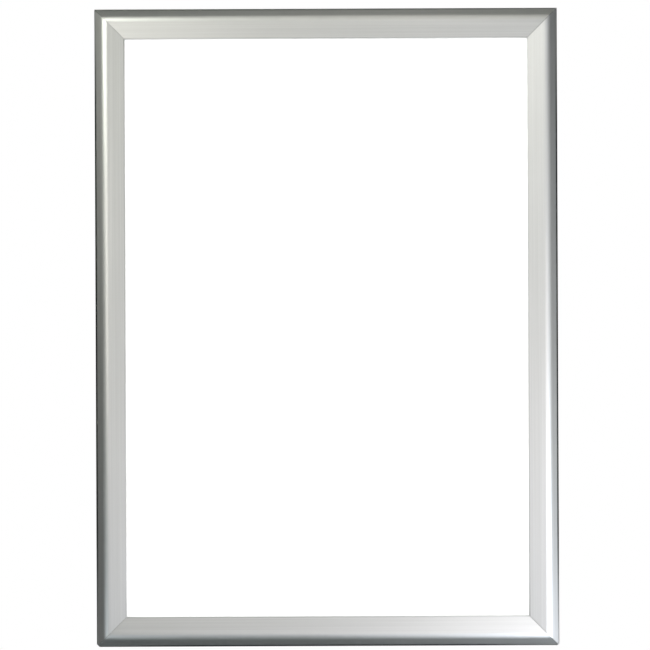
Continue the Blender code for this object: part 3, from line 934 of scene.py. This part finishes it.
def sheet_mesh(name, thickness, edge, wave):
    """A sheet of the poster's size with rounded edges, and a shallow wave that stays in its gap."""
    half_width, half_height = poster_width / 2, poster_height / 2
    columns, rows = SHEET_COLUMNS, SHEET_ROWS
    bm = bmesh.new()

    def layer(height):
        """Points all over the sheet within its rounded edges, in rows, waved about this height."""
        grid = []
        for row in range(rows + 1):
            line = []
            for column in range(columns + 1):
                x = (2 * column / columns - 1) * (half_width - edge)
                z = (2 * row / rows - 1) * (half_height - edge)
                swell = wave * cos(pi * x / poster_width) * cos(pi * z / poster_height)
                phase = RIPPLES[0] * x / poster_width + RIPPLES[1] * z / poster_height
                ripple = swell * (1 - RIPPLE_SHARE + RIPPLE_SHARE * sin(phase))
                line.append(bm.verts.new((x, z, height + ripple)))
            grid.append(line)
        return grid

    def rim(grid):
        """The grid's outermost points, in order round the sheet."""
        bottom = grid[0][:-1]
        right = [line[-1] for line in grid[:-1]]
        top = grid[-1][:0:-1]
        left = [line[0] for line in reversed(grid[1:])]
        return bottom + right + top + left

    def outline_ring(height):
        """The back's outermost points moved out to the sheet's outline, at this height."""
        ring = []
        for vertex in rim(back):
            x = vertex.co.x / (half_width - edge) * half_width
            z = vertex.co.y / (half_height - edge) * half_height
            x = max(-half_width, min(half_width, x))
            z = max(-half_height, min(half_height, z))
            ring.append(bm.verts.new((x, z, height)))
        return ring

    back = layer(0.0)
    front = layer(thickness)
    for row in range(rows):
        for column in range(columns):
            corners = [(row, column), (row, column + 1), (row + 1, column + 1), (row + 1, column)]
            bm.faces.new([front[r][c] for r, c in corners])
            bm.faces.new([back[r][c] for r, c in reversed(corners)])
    skin(bm, [rim(back), outline_ring(edge), outline_ring(thickness - edge), rim(front)])
    bmesh.ops.recalc_face_normals(bm, faces=bm.faces)
    return mesh_from(bm, name)


def add_sheet(name, node, bottom, thickness, wave, material):
    """A sheet whose back lies this far from the wall."""
    mesh = sheet_mesh(name, thickness, thickness * SHEET_EDGE_SHARE, wave)
    axes = Matrix((Vector((1, 0, 0)), Vector((0, 0, 1)), Vector((0, -1, 0)))).transposed()
    matrix = Matrix.Translation(frame_middle + Vector((0, -bottom, 0))) @ axes.to_4x4()
    sheet = new_piece(name, mesh, matrix, material)
    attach(sheet, "wall_frame")
    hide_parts(node)


# Studio

# The camera's distance and what it sees, and the frame's width and middle in the photograph
CAMERA_DISTANCE = 3.60
SENSOR_WIDTH_MM = 36.0
CLIP_START = 0.05
CLIP_END = 30.0
IMAGE_SIDE_PX = 650
FRAME_WIDTH_PX = 462.1
FRAME_CENTRE_PX = (326.8, 327.35)
PHOTO_ROLL = radians(0.235)

# The floor, which fades to its rim's colour from this share of its radius on
FLOOR_DROP = 0.46
FLOOR_RADIUS = 2.4
FLOOR_FADE_SHARE = 0.3
SPECKLES_PER_METRE = 40
FLOOR_COLOURS = ((0.80, 0.80, 0.79), (0.84, 0.84, 0.83))
FLOOR_RIM_COLOUR = (0.95, 0.95, 0.95)


def add_camera():
    """The photograph's view: straight on, the frame almost filling the height of the picture."""
    camera = bpy.data.cameras.new("camera")
    metres_per_px = frame_width / FRAME_WIDTH_PX
    camera.sensor_width = SENSOR_WIDTH_MM
    camera.lens = camera.sensor_width * CAMERA_DISTANCE / (IMAGE_SIDE_PX * metres_per_px)
    camera.clip_start = CLIP_START
    camera.clip_end = CLIP_END
    held = new_object("camera", camera)
    middle_px = IMAGE_SIDE_PX / 2
    aside = (middle_px - FRAME_CENTRE_PX[0]) * metres_per_px
    above = (FRAME_CENTRE_PX[1] - middle_px) * metres_per_px
    held.location = frame_middle + Vector((aside, -pivot_w - CAMERA_DISTANCE, above))
    held.rotation_euler = (pi / 2, PHOTO_ROLL, 0)
    bpy.context.scene.camera = held


def add_floor():
    """A pale floor, well below the frame, that metal doesn't mirror."""
    bm = bmesh.new()
    bmesh.ops.create_circle(bm, cap_ends=True, segments=FLOOR_SEGMENTS, radius=FLOOR_RADIUS)
    floor = new_object("floor", mesh_from(bm, "floor"))
    floor.location = Vector((0, 0, CAD_BOX[0][2] - FLOOR_DROP))
    surface = Surface("pale_floor", Roughness=0.8, Specular_IOR_Level=0.2)
    place = surface.add("ShaderNodeTexCoord").outputs["Object"]
    radius = surface.vector("LENGTH", place, result="Value")
    fade_start = FLOOR_RADIUS * FLOOR_FADE_SHARE
    fade = surface.ramp(radius, fade_start, FLOOR_RADIUS, 0.0, 1.0, smooth=True)
    speckle = surface.noise(surface.vector("MULTIPLY", place, (SPECKLES_PER_METRE,) * 3))
    tint = surface.blend(speckle, *FLOOR_COLOURS)
    surface.feed("Base Color", surface.blend(fade, tint, FLOOR_RIM_COLOUR))
    floor.data.materials.append(surface.material)
    floor.visible_glossy = False


# Soft lamps on the inside of a light tent, which only reflections show: degrees to the right and
# degrees up as seen from the frame, width in degrees, strength and colour. The last two are behind
# the frame. The others' strengths and colours were fitted to the photograph.
TENT_RADIUS = 0.95
TENT_LAMPS = (
    (39, 27, 9.7, 0.521, (1.00, 0.98, 1.03)),
    (-45, 37, 7.4, 13.2, (1.02, 1.05, 0.94)),
    (52, -36, 10.9, 8.09, (0.92, 0.99, 1.11)),
    (51, -21, 22.8, 0.792, (1.01, 1.01, 0.97)),
    (-65, 19, 12.4, 0.266, (1.06, 1.03, 0.91)),
    (-11, -21, 7.4, 0.493, (1.00, 0.96, 1.02)),
    (7, 26, 7.4, 1.19, (1.04, 1.01, 0.95)),
    (22, -14, 14.1, 1.15, (1.04, 0.98, 0.99)),
    (-24, 6, 10.1, 1.68, (1.06, 1.01, 0.93)),
    (13, 58, 13.7, 0.654, (1.05, 1.02, 0.93)),
    (-45, -38, 7.5, 2.64, (0.92, 1.02, 1.08)),
    (0, 0, 55, 0.173, (0.92, 1.07, 1.01)),
    (0, 0, 14, 0.00901, (1.07, 1.08, 0.85)),
    (-76, -20, 18, 0.0383, (1.16, 0.93, 0.92)),
    (76, 10, 18, 0.0181, (1.05, 0.83, 1.23)),
    (165, 26, 15.0, 1.30, (1.00, 1.00, 1.00)),
    (200, -12, 20.0, 0.55, (0.97, 1.00, 1.03)),
)
TENT_AMBIENT = (0.004, 0.004, 0.004)


def lamp_direction(azimuth, elevation):
    """The unit vector from the frame towards a lamp, from its angles in degrees."""
    turn, rise = radians(azimuth), radians(elevation)
    return Vector((sin(turn) * cos(rise), -cos(turn) * cos(rise), sin(rise)))


def add_light_tent():
    """The tent round the frame, dim all over, with its soft lamps."""
    bm = bmesh.new()
    around, upwards = TENT_SEGMENTS
    bmesh.ops.create_uvsphere(bm, u_segments=around, v_segments=upwards, radius=TENT_RADIUS)
    tent = new_object("light_tent", mesh_from(bm, "light_tent"))
    tent.location = frame_middle
    material = bpy.data.materials.new("light_tent")
    material.use_nodes = True
    material.node_tree.nodes.clear()
    material.cycles.emission_sampling = "NONE"
    nodes = Nodes(material.node_tree)
    place = nodes.add("ShaderNodeTexCoord").outputs["Object"]
    direction = nodes.vector("NORMALIZE", place)
    glow = nodes.vector("ADD", TENT_AMBIENT)
    for azimuth, elevation, width, strength, colour in TENT_LAMPS:
        aim = lamp_direction(azimuth, elevation)
        towards = nodes.vector("DOT_PRODUCT", direction, aim, "Value")
        below_peak = nodes.math("SUBTRACT", towards, 1.0)
        falloff = nodes.math("MULTIPLY", below_peak, 1 / radians(width) ** 2)
        amount = nodes.math("MULTIPLY", nodes.math("EXPONENT", falloff), strength)
        glow = nodes.vector("ADD", glow, nodes.scaled(colour, amount))
    emission = nodes.add("ShaderNodeEmission", {"Color": glow})
    nodes.add("ShaderNodeOutputMaterial", {"Surface": emission.outputs[0]})
    tent.data.materials.append(material)
    tent.visible_camera = False
    tent.visible_diffuse = False
    tent.visible_transmission = False
    tent.visible_volume_scatter = False
    tent.visible_shadow = False


BACKDROP = (1.0, 1.0, 1.0, 1.0)
SOFT_FILL = (0.75, 0.75, 0.75, 1.0)


def add_world():
    """A white backdrop for the camera, and an even soft light on all that isn't metal."""
    world = bpy.data.worlds.new("studio")
    bpy.context.scene.world = world
    world.cycles_visibility.glossy = False
    world.use_nodes = True
    world.node_tree.nodes.clear()
    nodes = Nodes(world.node_tree)
    fill = nodes.add("ShaderNodeBackground", {"Color": SOFT_FILL}).outputs[0]
    backdrop = nodes.add("ShaderNodeBackground", {"Color": BACKDROP}).outputs[0]
    seen = nodes.add("ShaderNodeLightPath").outputs["Is Camera Ray"]
    mixed = nodes.add("ShaderNodeMixShader", {0: seen, 1: fill, 2: backdrop})
    nodes.add("ShaderNodeOutputWorld", {"Surface": mixed.outputs[0]})


def add_soft_light(name, location, size, power):
    """A large soft light for paper, plastic and floor, kept out of the metal's reflections."""
    light = bpy.data.lights.new(name, "AREA")
    light.shape = "DISK"
    light.size = size
    light.energy = power
    held = new_object(name, light)
    held.location = location
    held.rotation_euler = (frame_middle - Vector(location)).to_track_quat("-Z", "Y").to_euler()
    held.visible_glossy = False
    held.visible_camera = False


# The two soft lights' places, sizes in metres and power in watts
FRONT_LIGHT = ((-0.25, -3.2, 0.1), 1.2, 100)
BACK_LIGHT = ((1.3, 2.2, 1.0), 1.6, 14)

satin = anodised("satin_anodised_aluminium", *SATIN_COLOURS, SATIN_ROUGHNESS)
mill = anodised("plain_anodised_aluminium", *MILL_COLOURS, MILL_ROUGHNESS, MILL_METALLIC)
cut_metal = sawn()
add_snap_covers(satin, cut_metal)
add_base_rails(mill, cut_metal)
add_spring_clips(spring_steel())
add_corner_brackets(zinc())
add_sheet(
    "white_panel", "back_panel", panel_bottom, BACK_PANEL, 0.0, polystyrene()
)
add_sheet(
    "blank_poster", "poster_insert",
    poster_bottom, POSTER_THICKNESS, POSTER_WAVE, paper(),
)
add_sheet(
    "anti_glare_cover", "clear_sheet",
    clear_bottom, CLEAR_SHEET, CLEAR_SHEET_WAVE, clear_plastic(),
)

add_camera()
add_floor()
add_light_tent()
add_world()
add_soft_light("front_light", *FRONT_LIGHT)
add_soft_light("back_light", *BACK_LIGHT)
bpy.context.scene.view_settings.view_transform = "Standard"
bpy.context.scene.view_settings.look = "None"
